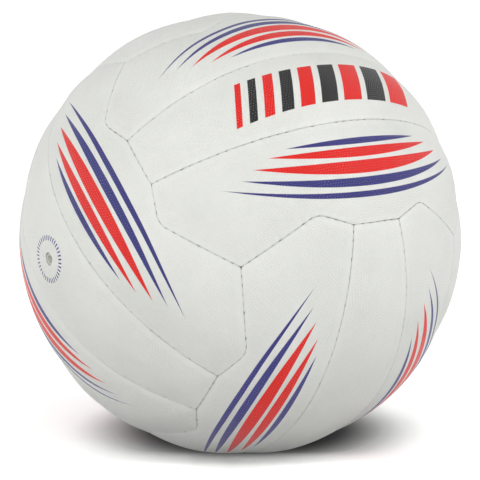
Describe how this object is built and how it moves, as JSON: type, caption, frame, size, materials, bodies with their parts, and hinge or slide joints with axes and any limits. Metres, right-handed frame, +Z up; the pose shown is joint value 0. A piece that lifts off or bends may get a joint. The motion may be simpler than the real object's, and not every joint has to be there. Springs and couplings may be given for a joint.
{
  "type": "netball",
  "caption": "Round stitched netball with interlocking strip panels, sewn seams, an air bladder and a needle valve.",
  "frame": {"origin": "the ball's centre", "axes": "+Z up as the ball lies, -Y towards the viewer of the picture, +X to the viewer's right"},
  "size_m": [0.2224, 0.2222, 0.2226],
  "materials": {
    "cover": "satin pimpled grain",
    "thread": "waxed",
    "bladder": "smooth",
    "valve_body": "smooth",
    "valve_core": "smooth",
    "valve_patch": "woven"
  },
  "bodies": {
    "root": {"bladder": "bladder", "end_seam_stitching": "thread", "left_front_middle_panel": "cover", "left_front_side_panel_1": "cover", "left_front_side_panel_2": "cover", "lower_front_middle_panel": "cover", "lower_front_side_panel_1": "cover", "lower_front_side_panel_2": "cover", "lower_rear_middle_panel": "cover", "lower_rear_side_panel_1": "cover", "lower_rear_side_panel_2": "cover", "right_rear_middle_panel": "cover", "right_rear_side_panel_1": "cover", "right_rear_side_panel_2": "cover", "shoulder_seam_stitching": "thread", "strip_seam_stitching": "thread", "upper_front_middle_panel": "cover", "upper_front_side_panel_1": "cover", "upper_front_side_panel_2": "cover", "upper_rear_middle_panel": "cover", "upper_rear_side_panel_1": "cover", "upper_rear_side_panel_2": "cover", "valve_body": "valve_body", "valve_core": "valve_core", "valve_patch": "valve_patch"}
  },
  "joints": []
}
